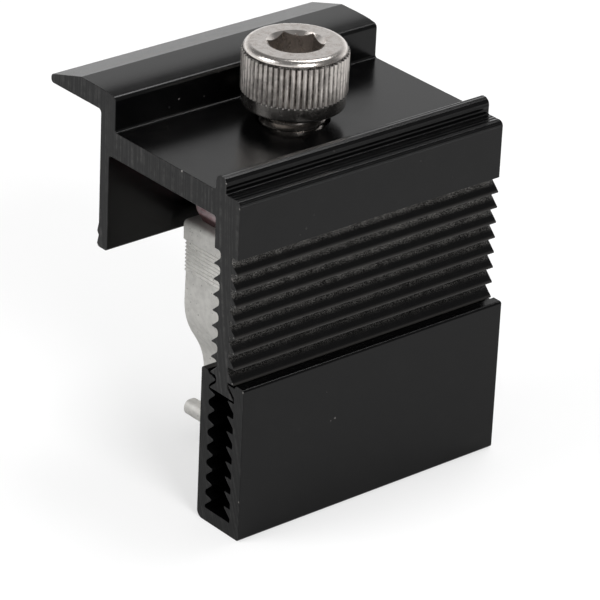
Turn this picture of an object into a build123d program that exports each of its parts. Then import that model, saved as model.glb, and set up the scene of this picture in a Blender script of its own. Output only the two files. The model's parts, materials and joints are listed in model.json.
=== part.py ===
from build123d import *
import os
from math import cos, pi, radians, sin, tan

# End clamp for framed solar modules, all sizes in millimetres.
# The origin is the centre of the foot's underside. X points out of the smooth
# front panel, Y runs along both black extrusions and Z is up, away from the rail.

# Both black extrusions are cut to one length
profile_length = 40.0

# Meshing teeth on the two sides of the leg and inside the foot
tooth_pitch = 2.0
tooth_depth = 1.1
tooth_land = 0.15
tooth_rise = 1.1
mesh_gap = 0.15
carry_gap = 0.25
saw_edge_radius = 0.06

# Height foot, a channel that stands on the rail
foot_height = 20.0
foot_floor = 1.75
foot_back_wall = 1.45
foot_front_wall = 1.75
foot_teeth = 9
foot_first_tooth = 1.8
bump_fall = 0.25
bump_land = 0.2
bump_rise = 1.0
bump_radius = 0.25
bump_groove_radius = 0.6
foot_heel_radius = 0.95
foot_toe_radius = 0.4
foot_rim_radius = 0.35
foot_lead_in = 0.35

# Clamp top: toothed leg, front panel, shoulder and bead
leg_core = 2.1
leg_teeth = 9
leg_scallop_rise = 0.95
leg_scallop_radius = 0.6
panel_height = 7.3
shoulder_radius = 0.65
bead_width = 1.85
bead_height = 2.0
bead_overhang = 0.15
bead_radius = 0.85
bead_foot_radius = 0.15

# Clamp top: drilled plate, upper wall, lip and skirt
plate_thickness = 3.3
hole_clearance = 0.5
wall_thickness = 2.75
wall_height = 4.7
crown_radius = 0.6
lip_gap = 1.95
lip_reach = 9.8
lip_nose = 1.05
lip_nose_radius = 0.5
lip_slope = 5.85
lip_root_radius = 0.5
skirt_thickness = 1.7
skirt_depth = 12.5
skirt_end_radius = 0.4
rib_height = 0.3
rib_pitch = 1.65
rib_slope = 1.15
rib_count = 2
inner_radius = 0.35

# Clamping screw, M8 x 45 with a knurled head and a hexagon socket, still loose
# with its head clear of the plate
head_lift = 1.9
shank_diameter = 8.0
shank_length = 45.0
tip_chamfer = 0.9
head_diameter = 12.8
head_height = 7.8
head_band = 1.9
head_crown = 0.9
head_crown_radius = 0.75
knurl_ridges = 56
knurl_depth = 0.2
socket_width = 6.0
socket_depth = 4.0
socket_turn = 45.0
socket_chamfer = 0.5
socket_cone = 0.9

# Rail nut, an extrusion that lies across the screw and is tapped for it
nut_length = 16.4
nut_height = 26.85
nut_foot_gap = 0.9
nut_skirt_gap = 1.15
nut_band_width = 18.8
nut_band_height = 2.95
nut_corner_radius = 1.2
nut_block_width = 18.0
nut_block_height = 13.3
serration_count = 8
serration_pitch = 0.5
serration_height = 0.3
serration_width = 18.4
neck_width = 11.14
neck_height = 6.65
waist_radius = 9.0
hook_span = 17.0
hook_thickness = 1.25
hook_bead_height = 0.75
hook_bead_width = 1.7
hook_bead_run = 0.6
hook_radius = 0.9
thread_gap = 0.05

# Soft spacer pad, on the screw between the nut and the plate
pad_plate_gap = 0.3
pad_height = 10.4
pad_width = 16.8
pad_corner_radius = 1.0
pad_edge_radius = 0.7
pad_bore_gap = 0.3

# Places that follow from the sizes
cavity_width = leg_core + 2 * tooth_depth + 2 * mesh_gap
foot_width = foot_back_wall + cavity_width + foot_front_wall
foot_tooth_tops = [foot_floor + foot_first_tooth + i * tooth_pitch for i in range(foot_teeth)]
leg_x = -foot_width / 2 + foot_back_wall + cavity_width / 2
leg_front_x = leg_x + leg_core / 2 + tooth_depth
leg_back_x = leg_x - leg_core / 2 - tooth_depth
leg_bottom = foot_tooth_tops[-2] + carry_gap
leg_tooth_undersides = [leg_bottom + i * tooth_pitch for i in range(leg_teeth)]
leg_teeth_top = leg_bottom + leg_teeth * tooth_pitch
plate_top = leg_teeth_top + panel_height
plate_bottom = plate_top - plate_thickness
head_seat = plate_top + head_lift
foot_back_x = leg_back_x - mesh_gap - foot_back_wall
screw_x = foot_back_x - nut_foot_gap - nut_length / 2
wall_outer_x = screw_x - nut_length / 2 - nut_skirt_gap - skirt_thickness
wall_inner_x = wall_outer_x + wall_thickness
nut_top = plate_bottom - pad_plate_gap - pad_height
nut_lift = nut_top - nut_height


def rounded_face(corners):
    """Closed face from (u, v, radius) corners, each rounded by an arc that its two sides have room for."""
    arcs = []
    for i, (u, v, radius) in enumerate(corners):
        corner = Vector(u, v)
        back = Vector(*corners[i - 1][:2]) - corner
        onward = Vector(*corners[(i + 1) % len(corners)][:2]) - corner
        half_angle = radians(back.get_angle(onward)) / 2
        longest_reach = 0.49 * min(back.length, onward.length)
        reach = min(radius / tan(half_angle), longest_reach)
        radius = reach * tan(half_angle)
        middle = (back.normalized() + onward.normalized()).normalized()
        depth = radius / sin(half_angle) - radius
        start = corner + back.normalized() * reach
        end = corner + onward.normalized() * reach
        arcs.append((start, corner + middle * depth, end, radius))
    edges = []
    for i, (start, middle, end, radius) in enumerate(arcs):
        if radius > 0:
            edges.append(ThreePointArc(start, middle, end))
        edges.append(Line(end, arcs[(i + 1) % len(arcs)][0]))
    return make_face(Wire(edges))


def leg_teeth_side(tip_x, inward, rise, groove_radius):
    """Corners up one side of the leg: each tooth has a level underside and a sloping top."""
    root_x = tip_x + inward * tooth_depth
    corners = []
    for z in leg_tooth_undersides:
        corners.append((tip_x, z, 0))
        corners.append((tip_x, z + tooth_land, saw_edge_radius))
        corners.append((root_x, z + tooth_land + rise, groove_radius))
        corners.append((root_x, z + tooth_pitch, groove_radius))
    return corners


def skirt_ribs(bottom):
    """Corners up the skirt's outer face, past its barbed ribs."""
    corners = []
    for i in range(rib_count):
        peak = bottom + skirt_end_radius + i * rib_pitch
        corners.append((wall_outer_x - rib_height, peak, rib_height / 2))
        corners.append((wall_outer_x, peak + rib_slope, 0))
    return corners


def make_clamp_top():
    skirt_inner_x = wall_outer_x + skirt_thickness
    skirt_bottom = plate_bottom - skirt_depth
    lip_bottom = plate_top + lip_gap
    nose_x = wall_outer_x - lip_reach
    crown = plate_top + wall_height
    bead_back_x = leg_back_x - bead_overhang
    bead_front_x = bead_back_x + bead_width
    bead_top = plate_top + bead_height
    corners = leg_teeth_side(leg_back_x, 1, leg_scallop_rise, leg_scallop_radius)
    corners += [
        (leg_back_x, leg_teeth_top, 0),
        (leg_back_x, plate_bottom, inner_radius),
        (skirt_inner_x, plate_bottom, inner_radius),
        (skirt_inner_x, skirt_bottom, skirt_end_radius),
        (wall_outer_x, skirt_bottom, skirt_end_radius),
    ]
    corners += skirt_ribs(skirt_bottom)
    corners += [
        (wall_outer_x, lip_bottom, lip_root_radius),
        (nose_x, lip_bottom, lip_nose_radius),
        (nose_x, lip_bottom + lip_nose, lip_nose_radius),
        (nose_x + lip_slope, crown, crown_radius),
        (wall_inner_x, crown, crown_radius),
        (wall_inner_x, plate_top, inner_radius),
        (bead_back_x, plate_top, inner_radius),
        (bead_back_x, bead_top, bead_radius),
        (bead_front_x, bead_top, bead_radius),
        (bead_front_x, plate_top, bead_foot_radius),
        (leg_front_x, plate_top, shoulder_radius),
        (leg_front_x, leg_teeth_top, 0),
    ]
    corners += reversed(leg_teeth_side(leg_front_x, -1, tooth_rise, saw_edge_radius))
    body = extrude(Plane.XZ * rounded_face(corners), profile_length / 2, both=True)
    hole_radius = shank_diameter / 2 + hole_clearance
    hole_middle = (plate_top + plate_bottom) / 2
    return body - Pos(screw_x, 0, hole_middle) * Cylinder(hole_radius, 2 * plate_thickness)


def make_height_foot():
    front_x = foot_width / 2
    front_root = front_x - foot_front_wall
    back_root = -front_x + foot_back_wall
    front_tip = front_root - tooth_depth
    back_tip = back_root + tooth_depth
    corners = [
        (-front_x, 0, foot_heel_radius),
        (front_x, 0, foot_toe_radius),
        (front_x, foot_height, foot_rim_radius),
        (front_root + foot_lead_in, foot_height, saw_edge_radius),
    ]
    for top in reversed(foot_tooth_tops):
        corners.append((front_root, top, saw_edge_radius))
        corners.append((front_tip, top, saw_edge_radius))
        corners.append((front_tip, top - tooth_land, saw_edge_radius))
        corners.append((front_root, top - tooth_land - tooth_rise, saw_edge_radius))
    corners += [(front_root, foot_floor, saw_edge_radius), (back_root, foot_floor, bump_groove_radius)]
    for top in foot_tooth_tops:
        tip_top = top - bump_fall
        corners.append((back_root, tip_top - bump_land - bump_rise, bump_groove_radius))
        corners.append((back_tip, tip_top - bump_land, bump_radius))
        corners.append((back_tip, tip_top, bump_radius))
        corners.append((back_root, top, bump_groove_radius))
    corners += [
        (back_root - foot_lead_in, foot_height, saw_edge_radius),
        (-front_x, foot_height, foot_lead_in),
    ]
    return extrude(Plane.XZ * rounded_face(corners), profile_length / 2, both=True)


def knurled_disc():
    """Face with a crest on every ridge of the knurl and a valley between neighbours."""
    points = []
    for i in range(2 * knurl_ridges):
        radius = head_diameter / 2 - knurl_depth * (i % 2)
        angle = pi * i / knurl_ridges
        points.append((radius * cos(angle), radius * sin(angle)))
    return make_face(Polyline(*points, close=True))


def make_clamp_screw():
    valley_radius = head_diameter / 2 - knurl_depth
    head = Pos(0, 0, head_height / 2) * Cylinder(valley_radius, head_height)
    head = fillet(head.edges().group_by(Axis.Z)[-1], head_crown_radius)
    head += Pos(0, 0, head_band) * extrude(knurled_disc(), head_height - head_band - head_crown)
    shank = Pos(0, 0, -shank_length / 2) * Cylinder(shank_diameter / 2, shank_length)
    shank = chamfer(shank.edges().group_by(Axis.Z)[0], tip_chamfer)
    socket_floor = head_height - socket_depth
    socket_corner = socket_width / 2 / cos(pi / 6)
    hexagon = RegularPolygon(socket_width / 2, 6, major_radius=False, rotation=socket_turn)
    socket = Pos(0, 0, socket_floor) * extrude(hexagon, socket_depth)
    socket += Pos(0, 0, socket_floor - socket_cone / 2) * Cone(0, socket_width / 2, socket_cone)
    mouth = Cone(socket_corner - socket_chamfer, socket_corner, socket_chamfer)
    socket += Pos(0, 0, head_height - socket_chamfer / 2) * mouth
    return Pos(screw_x, 0, head_seat) * (head + shank - socket)


def nut_side():
    """Corners up the nut's +Y side: hook, neck, waist, block, serrations and top band."""
    hook_y = hook_span / 2
    neck_y = neck_width / 2
    block_y = nut_block_width / 2
    crest_y = serration_width / 2
    band_y = nut_band_width / 2
    hook_top = nut_lift + hook_thickness
    bead_top = hook_top + hook_bead_height
    band_bottom = nut_top - nut_band_height
    corners = [
        (hook_y, nut_lift, hook_radius),
        (hook_y, bead_top, hook_radius),
        (hook_y - hook_bead_width, bead_top, hook_radius),
        (hook_y - hook_bead_width - hook_bead_run, hook_top, hook_radius),
        (neck_y, hook_top, hook_radius),
        (neck_y, hook_top + neck_height, waist_radius),
        (block_y, nut_top - nut_block_height, waist_radius),
    ]
    for i in range(serration_count):
        crest = band_bottom - (serration_count - i - 0.5) * serration_pitch
        corners.append((crest_y - serration_height, crest - serration_pitch / 2, 0))
        corners.append((crest_y, crest, 0))
    corners += [
        (crest_y - serration_height, band_bottom, 0),
        (band_y, band_bottom + (band_y - crest_y + serration_height), saw_edge_radius),
        (band_y, nut_top, nut_corner_radius),
    ]
    return corners


def make_rail_nut():
    side = nut_side()
    other_side = [(-y, z, radius) for y, z, radius in reversed(side)]
    body = extrude(Plane.YZ * rounded_face(side + other_side), nut_length / 2, both=True)
    bore_radius = shank_diameter / 2 + thread_gap
    bore = Pos(0, 0, nut_lift + nut_height / 2) * Cylinder(bore_radius, 2 * nut_height)
    return Pos(screw_x, 0, 0) * (body - bore)


def make_spacer_pad():
    block = extrude(RectangleRounded(nut_length, pad_width, pad_corner_radius), pad_height)
    ends = block.edges().group_by(Axis.Z)
    block = fillet(ends[0] + ends[-1], pad_edge_radius)
    bore_radius = shank_diameter / 2 + pad_bore_gap
    block -= Pos(0, 0, pad_height / 2) * Cylinder(bore_radius, 2 * pad_height)
    return Pos(screw_x, 0, nut_top) * block


parts = {
    "clamp_top": make_clamp_top(),
    "height_foot": make_height_foot(),
    "clamp_screw": make_clamp_screw(),
    "rail_nut": make_rail_nut(),
    "spacer_pad": make_spacer_pad(),
}

os.makedirs("parts", exist_ok=True)
for name, solid in parts.items():
    export_step(solid, f"parts/{name}.step")
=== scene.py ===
"""Looks of an adjustable end clamp for framed solar modules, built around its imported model.

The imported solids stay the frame. Each shown piece is either such a solid with its sawn edges eased and a
finish of its own, or a finer piece that stands for one, such as the threaded screw.
"""

from __future__ import annotations

import json
import logging
import math
from collections.abc import Callable
from dataclasses import dataclass, field
from enum import Enum

import bpy
from mathutils import Matrix, Vector

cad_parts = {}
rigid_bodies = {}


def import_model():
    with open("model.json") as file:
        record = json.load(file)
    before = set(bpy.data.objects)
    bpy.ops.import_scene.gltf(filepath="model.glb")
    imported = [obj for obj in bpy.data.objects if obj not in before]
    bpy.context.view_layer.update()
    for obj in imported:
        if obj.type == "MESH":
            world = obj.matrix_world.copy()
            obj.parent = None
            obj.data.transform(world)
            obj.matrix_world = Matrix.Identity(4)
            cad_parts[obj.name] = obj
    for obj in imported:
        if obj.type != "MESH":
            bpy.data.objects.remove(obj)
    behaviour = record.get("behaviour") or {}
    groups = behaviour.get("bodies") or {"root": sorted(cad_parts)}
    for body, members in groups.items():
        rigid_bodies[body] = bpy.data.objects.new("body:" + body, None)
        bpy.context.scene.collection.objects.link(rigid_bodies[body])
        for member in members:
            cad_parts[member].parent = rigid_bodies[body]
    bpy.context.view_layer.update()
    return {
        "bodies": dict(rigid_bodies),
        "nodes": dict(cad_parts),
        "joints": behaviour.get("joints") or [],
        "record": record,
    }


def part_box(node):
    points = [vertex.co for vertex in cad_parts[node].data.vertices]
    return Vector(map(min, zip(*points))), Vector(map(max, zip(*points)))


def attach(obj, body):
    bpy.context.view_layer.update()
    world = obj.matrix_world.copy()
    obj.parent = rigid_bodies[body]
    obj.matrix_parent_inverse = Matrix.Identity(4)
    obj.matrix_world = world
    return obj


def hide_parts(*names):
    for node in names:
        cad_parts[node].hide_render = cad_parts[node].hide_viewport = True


LOG = logging.getLogger("end_clamp")
MM = 0.001
# Two places closer than this count as one.
NEAR = 0.01 * MM

Piece = bpy.types.Object
Socket = bpy.types.NodeSocket
Test = Callable[..., bool]
Reshape = Callable[[Piece], None]
Span = tuple[float, float]
Place = tuple[float, float, float]
Colour = tuple[float, float, float, float]

# Inputs of the shared effects for each kind of surface.
DRAWN_ALONG_Y = {"Stretch": (5200.0, 90.0, 5200.0), "Mottle Scale": 420.0}
DRAWN_ALONG_X = {"Stretch": (160.0, 6500.0, 6500.0), "Mottle Scale": 1100.0}
TORN_METAL = {"Stretch": (9000.0, 7000.0, 9000.0), "Mottle Scale": 700.0}
COLD_FORMED = {"Stretch": (1500.0, 1500.0, 900.0), "Mottle Scale": 1300.0}
BURNT_PATCHES = {"Stretch": (2600.0, 2600.0, 500.0), "Mottle Scale": 480.0}
CAST_PLASTIC = {"Stretch": (1700.0, 1700.0, 1700.0), "Mottle Scale": 900.0}
DUST = {"Scale": 1500.0, "Size": 0.2, "Share": 0.03}
NUT_PITS = {"Scale": 2600.0, "Size": 0.34, "Share": 0.35}
STEEL_PITS = {"Scale": 2600.0, "Size": 0.5, "Share": 0.35}


class Pick(Enum):
    """Kinds of mesh element that can be picked for an operator."""

    VERTS = "VERT"
    EDGES = "EDGE"
    FACES = "FACE"


class CutAxis(Enum):
    """Axis along which an extrusion runs, so that its sawn ends face along it."""

    X = 0
    Y = 1


def activate(piece: Piece) -> None:
    """Makes one object the only selected and active one, because operators act on all that is selected.

    Args:
        piece: Object to work on.
    """
    if bpy.context.object and bpy.context.object.mode != "OBJECT":
        bpy.ops.object.mode_set(mode="OBJECT")
    bpy.ops.object.select_all(action="DESELECT")
    piece.select_set(True)
    bpy.context.view_layer.objects.active = piece


def apply_place(piece: Piece) -> None:
    """Puts an object's place, turn and scale into its mesh."""
    activate(piece)
    bpy.ops.object.transform_apply(location=True, rotation=True, scale=True)


def edit_all(piece: Piece) -> None:
    """Opens an object in edit mode with all of it selected.

    Args:
        piece: Mesh object to open.
    """
    activate(piece)
    bpy.ops.object.mode_set(mode="EDIT")
    bpy.ops.mesh.select_mode(type=Pick.VERTS.value)
    bpy.ops.mesh.select_all(action="SELECT")


def edit_picked(piece: Piece, kind: Pick, test: Test) -> None:
    """Opens an object in edit mode with the elements that pass a test selected.

    Args:
        piece: Mesh object to open.
        kind: Kind of element that is tested.
        test: Takes a vertex's place, an edge's two end places, or a face's centre and normal.
    """
    edit_all(piece)
    bpy.ops.mesh.select_mode(type=kind.value)
    bpy.ops.mesh.select_all(action="DESELECT")
    bpy.ops.object.mode_set(mode="OBJECT")
    mesh = piece.data
    if kind is Pick.VERTS:
        for vertex in mesh.vertices:
            vertex.select = test(vertex.co)
    elif kind is Pick.EDGES:
        for edge in mesh.edges:
            edge.select = test(*(mesh.vertices[i].co for i in edge.vertices))
    else:
        for face in mesh.polygons:
            face.select = test(face.center, face.normal)
    bpy.ops.object.mode_set(mode="EDIT")


def close_edit() -> None:
    """Leaves edit mode."""
    bpy.ops.object.mode_set(mode="OBJECT")


def cut_ring(piece: Piece, place: Place, normal: Place) -> None:
    """Cuts a ring of edges round a piece.

    Args:
        piece: Mesh to cut.
        place: Point on the plane of the cut.
        normal: Direction across that plane.
    """
    edit_all(piece)
    bpy.ops.mesh.bisect(plane_co=place, plane_no=normal)
    close_edit()


def scale_picked(piece: Piece, test: Test, factors: Place, centre: Place | Vector) -> None:
    """Scales picked vertices about a point.

    Args:
        piece: Mesh to change.
        test: Takes a vertex's place.
        factors: Share of the distance that is kept along each axis.
        centre: Point that stays where it is.
    """
    edit_picked(piece, Pick.VERTS, test)
    bpy.ops.transform.resize(value=factors, center_override=centre)
    close_edit()


def round_picked(piece: Piece, test: Test, radius: float, segments: int) -> None:
    """Rounds picked edges.

    Args:
        piece: Mesh to change.
        test: Takes an edge's two end places.
        radius: Radius of the rounding.
        segments: Number of faces across it.
    """
    edit_picked(piece, Pick.EDGES, test)
    bpy.ops.mesh.bevel(offset=radius, segments=segments, clamp_overlap=False)
    close_edit()


def level_with(height: float) -> Test:
    """Gives a test for edges that lie at one height."""
    return lambda a, b: abs(a.z - height) < NEAR and abs(b.z - height) < NEAR


def apply_modifier(piece: Piece, kind: str, **settings: object) -> None:
    """Adds a modifier with its settings and applies it.

    Args:
        piece: Object to change.
        kind: Blender's name of the modifier type.
        **settings: Attributes to set on the modifier.
    """
    activate(piece)
    modifier = piece.modifiers.new(kind.lower(), kind)
    for name, value in settings.items():
        setattr(modifier, name, value)
    bpy.ops.object.modifier_apply(modifier=modifier.name)


def cut_away(piece: Piece, cutter: Piece) -> None:
    """Cuts one object out of another and removes it."""
    apply_modifier(piece, "BOOLEAN", operation="DIFFERENCE", object=cutter, solver="EXACT")
    bpy.data.objects.remove(cutter)


def settle(piece: Piece, smooth_angle: float) -> None:
    """Puts a finished piece's place into its mesh and shades it smooth, with its flats kept flat.

    Args:
        piece: Object that is finished.
        smooth_angle: Angle in radians under which two faces shade as one.
    """
    apply_place(piece)
    bpy.ops.object.shade_smooth_by_angle(angle=smooth_angle)
    apply_modifier(piece, "WEIGHTED_NORMAL", mode="FACE_AREA", weight=50, keep_sharp=True)


def rename(name: str) -> Piece:
    """Names the object that an operator has just added.

    Args:
        name: New name of the object and its mesh.

    Returns:
        The active object.
    """
    piece = bpy.context.active_object
    piece.name = name
    piece.data.name = name
    return piece


def dress(piece: Piece, node: str, material: bpy.types.Material) -> None:
    """Gives a finished piece its material and reports it.

    Args:
        piece: The piece.
        node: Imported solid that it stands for, whole or in part.
        material: Its finish.
    """
    piece.data.materials.clear()
    piece.data.materials.append(material)
    LOG.info("%s stands for %s, %d faces", piece.name, node, len(piece.data.polygons))


class Graph:
    """Short calls for building one node tree."""

    def __init__(self, tree: bpy.types.NodeTree) -> None:
        """Keeps the tree and empties it."""
        self.tree = tree
        tree.nodes.clear()

    def feed(self, entry: Socket, value: object) -> None:
        """Links an output socket to an input socket, or sets the input to a constant.

        Args:
            entry: Input socket.
            value: Output socket or constant.
        """
        if isinstance(value, Socket):
            self.tree.links.new(value, entry)
        else:
            entry.default_value = value

    def add(self, kind: str, values: dict | None = None, **attributes: object) -> bpy.types.Node:
        """Adds a node.

        Args:
            kind: Node type, without the ShaderNode prefix where it has one.
            values: Input names or indices with a constant, or with an output socket to link.
            **attributes: Attributes of the node itself, such as its operation.

        Returns:
            The new node.
        """
        node = self.tree.nodes.new(kind if kind.startswith("Node") else "ShaderNode" + kind)
        for name, value in attributes.items():
            setattr(node, name, value)
        for name, value in (values or {}).items():
            self.feed(node.inputs[name], value)
        return node

    def math(self, operation: str, *inputs: object, clamp: bool = False) -> Socket:
        """Adds a Math node over constants or sockets, held between 0 and 1 where asked, and gives its result."""
        return self.add("Math", dict(enumerate(inputs)), operation=operation, use_clamp=clamp).outputs[0]

    def product(self, first: object, *others: object) -> Socket:
        """Multiplies constants and sockets.

        Args:
            first: First factor.
            *others: The other factors.

        Returns:
            The product.
        """
        for other in others:
            first = self.math("MULTIPLY", first, other)
        return first

    def spread(self, share: Socket, low: float, high: float) -> Socket:
        """Maps 0 to 1 onto the range from low to high."""
        return self.math("MULTIPLY_ADD", share, high - low, low)

    def mix(self, factor: object, first: object, second: object) -> Socket:
        """Mixes two colours, where the factor is the second one's share."""
        return self.add("Mix", {0: factor, 6: first, 7: second}, data_type="RGBA").outputs[2]

    def ramp(self, value: Socket, low: float, high: float) -> Socket:
        """Maps the range from low to high smoothly onto 0 to 1."""
        return self.add("MapRange", {0: value, 1: low, 2: high}, interpolation_type="SMOOTHSTEP").outputs[0]


def new_group(name: str, inputs: dict[str, tuple[str, object]], outputs: tuple[str, ...]) -> tuple[Graph, dict, dict]:
    """Starts a node group with named sockets.

    Args:
        name: Name of the group.
        inputs: Input names with the kind of socket and its default.
        outputs: Names of the outputs, which are numbers.

    Returns:
        The group's graph, its input sockets by name and its output node's sockets by name.
    """
    tree = bpy.data.node_groups.new(name, "ShaderNodeTree")
    graph = Graph(tree)
    for label, (kind, default) in inputs.items():
        socket = tree.interface.new_socket(label, in_out="INPUT", socket_type="NodeSocket" + kind)
        if default is not None:
            socket.default_value = default
    for label in outputs:
        tree.interface.new_socket(label, in_out="OUTPUT", socket_type="NodeSocketFloat")
    entry = graph.add("NodeGroupInput")
    leave = graph.add("NodeGroupOutput")
    return graph, {s.name: s for s in entry.outputs if s.name}, {s.name: s for s in leave.inputs if s.name}


class SharedEffects:
    """Node groups that more than one finish uses, each built once."""

    def __init__(self) -> None:
        """Builds the groups."""
        self.streaks = self._make_streaks()
        self.specks = self._make_specks()
        self.spot = self._make_spot()
        self.cut_ends = self._make_cut_ends()

    @staticmethod
    def _make_streaks() -> bpy.types.NodeTree:
        """Builds long fine lines with a slow mottle, as a die or a saw leaves them.

        Returns:
            The node group.
        """
        graph, entry, leave = new_group(
            "tool_streaks",
            {"Vector": ("Vector", None), "Stretch": ("Vector", (1.0, 1.0, 1.0)), "Mottle Scale": ("Float", 200.0)},
            ("Lines", "Mottle"),
        )
        stretched = graph.add("VectorMath", {0: entry["Vector"], 1: entry["Stretch"]}, operation="MULTIPLY")
        lines = graph.add("TexNoise", {"Vector": stretched.outputs[0], "Scale": 1.0, "Detail": 3.0,
                                       "Roughness": 0.6})
        mottle = graph.add("TexNoise", {"Vector": entry["Vector"], "Scale": entry["Mottle Scale"],
                                        "Detail": 4.0, "Roughness": 0.62})
        graph.feed(leave["Lines"], lines.outputs[0])
        graph.feed(leave["Mottle"], mottle.outputs[0])
        return graph.tree

    @staticmethod
    def _make_specks() -> bpy.types.NodeTree:
        """Builds sparse small specks, as of dust or tiny pits, of all sizes and strengths up to the given ones.

        Returns:
            The node group.
        """
        graph, entry, leave = new_group(
            "fine_specks",
            {"Vector": ("Vector", None), "Scale": ("Float", 1500.0), "Size": ("Float", 0.12), "Share": ("Float", 0.2)},
            ("Mask",),
        )
        cells = graph.add("TexVoronoi", {"Vector": entry["Vector"], "Scale": entry["Scale"]})
        chance, size, strength = graph.add("SeparateColor", {0: cells.outputs["Color"]}).outputs
        kept = graph.math("LESS_THAN", chance, entry["Share"])
        near = graph.math("LESS_THAN", cells.outputs["Distance"], graph.product(entry["Size"], size))
        graph.feed(leave["Mask"], graph.product(kept, near, strength))
        return graph.tree

    @staticmethod
    def _make_spot() -> bpy.types.NodeTree:
        """Builds one ragged spot round a point, as a nick or a rub mark.

        Returns:
            The node group.
        """
        graph, entry, leave = new_group(
            "nick_spot",
            {"Vector": ("Vector", None), "Centre": ("Vector", (0.0, 0.0, 0.0)), "Radius": ("Float", 0.3 * MM)},
            ("Mask",),
        )
        noise = graph.add("TexNoise", {"Vector": entry["Vector"], "Scale": 5200.0, "Detail": 2.0})
        away = graph.add("VectorMath", {0: entry["Vector"], 1: entry["Centre"]}, operation="DISTANCE")
        ragged = graph.product(noise.outputs[0], graph.product(entry["Radius"], 1.4))
        reach = graph.math("ADD", away.outputs["Value"], ragged)
        limit = graph.product(entry["Radius"], 1.7)
        fade = graph.math("DIVIDE", graph.math("SUBTRACT", limit, reach), entry["Radius"], clamp=True)
        graph.feed(leave["Mask"], fade)
        return graph.tree

    @staticmethod
    def _make_cut_ends() -> bpy.types.NodeTree:
        """Builds a mask of the two sawn ends of a piece and the round marks that the saw left on them.

        Returns:
            The node group.
        """
        graph, entry, leave = new_group(
            "sawn_ends",
            {"Place": ("Float", 0.0), "Centre": ("Float", 0.0), "Half Length": ("Float", 0.02),
             "Vector": ("Vector", None), "Flatten": ("Vector", (1.0, 0.0, 1.0)),
             "Saw": ("Vector", (0.12, 0.0, 0.045)), "Fineness": ("Float", 1700.0)},
            ("Mask", "Arcs", "Blotches"),
        )
        offset = graph.math("ABSOLUTE", graph.math("SUBTRACT", entry["Place"], entry["Centre"]))
        short_of_end = graph.math("SUBTRACT", entry["Half Length"], offset)
        flat = graph.add("VectorMath", {0: entry["Vector"], 1: entry["Flatten"]}, operation="MULTIPLY")
        away = graph.add("VectorMath", {0: flat.outputs[0], 1: entry["Saw"]}, operation="DISTANCE")
        swing = graph.product(away.outputs["Value"], entry["Fineness"])
        arcs = graph.add("TexNoise", {"W": swing, "Scale": 1.0, "Detail": 3.0, "Roughness": 0.7},
                         noise_dimensions="1D")
        blotches = graph.add("TexNoise", {"Vector": flat.outputs[0], "Scale": 900.0, "Detail": 4.0,
                                          "Roughness": 0.6})
        graph.feed(leave["Mask"], graph.ramp(short_of_end, 0.06 * MM, 0.01 * MM))
        graph.feed(leave["Arcs"], arcs.outputs[0])
        graph.feed(leave["Blotches"], blotches.outputs[0])
        return graph.tree


@dataclass(frozen=True)
class Nick:
    """A small bare or scuffed spot on a finish.

    Attributes:
        place: Point in millimetres, in the object's frame.
        radius: Size in millimetres.
        strength: How far the colour goes towards the bare one.
    """

    place: Place
    radius: float
    strength: float = 0.8


class Finish:
    """A material with one Principled shader and short ways to wire it."""

    def __init__(self, name: str, effects: SharedEffects) -> None:
        """Starts the material and its shader.

        Args:
            name: Name of the material.
            effects: Shared node groups.
        """
        self.material = bpy.data.materials.new(name)
        self.material.use_nodes = True
        self.effects = effects
        self.graph = Graph(self.material.node_tree)
        self.shader = self.graph.add("BsdfPrincipled")
        self.graph.add("OutputMaterial", {0: self.shader.outputs[0]})
        self.coords = self.graph.add("TexCoord").outputs["Object"]

    def constant(self, **values: object) -> None:
        """Sets shader inputs that are the same all over, named with underscores for spaces."""
        for name, value in values.items():
            self.shader.inputs[name.replace("_", " ")].default_value = value

    def wire(self, name: str, socket: Socket) -> None:
        """Links a socket to one of the shader's inputs."""
        self.graph.feed(self.shader.inputs[name], socket)

    def effect(self, tree: bpy.types.NodeTree, values: dict) -> bpy.types.Node:
        """Places a shared effect in this material, at the object coordinate and with its other inputs set."""
        return self.graph.add("Group", {"Vector": self.coords, **values}, node_tree=tree)

    def bump(self, height: Socket, distance: float, strength: float) -> None:
        """Feeds the shader's normal from a height, over a depth in metres and at the share of it that shows."""
        node = self.graph.add("Bump", {"Height": height, "Distance": distance, "Strength": strength})
        self.wire("Normal", node.outputs[0])

    def nicks(self, colour: Socket, bare: Colour, nicks: tuple[Nick, ...]) -> Socket:
        """Lays small bare spots over a colour.

        Args:
            colour: Colour of the sound finish.
            bare: Colour of a spot.
            nicks: The spots.

        Returns:
            The colour with its spots.
        """
        for nick in nicks:
            centre = tuple(value * MM for value in nick.place)
            spot = self.effect(self.effects.spot, {"Centre": centre, "Radius": nick.radius * MM})
            colour = self.graph.mix(self.graph.product(spot.outputs[0], nick.strength), colour, bare)
        return colour


class Recipe:
    """A finish that can be made into a material."""

    def make(self, name: str, effects: SharedEffects) -> bpy.types.Material:
        """Builds the material.

        Args:
            name: Name of the material.
            effects: Shared node groups.

        Returns:
            The material.
        """
        finish = Finish(name, effects)
        self.paint(finish, finish.graph)
        return finish.material

    def paint(self, finish: Finish, graph: Graph) -> None:
        """Wires colour, roughness and relief, which each recipe does in its own way."""
        raise NotImplementedError


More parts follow.
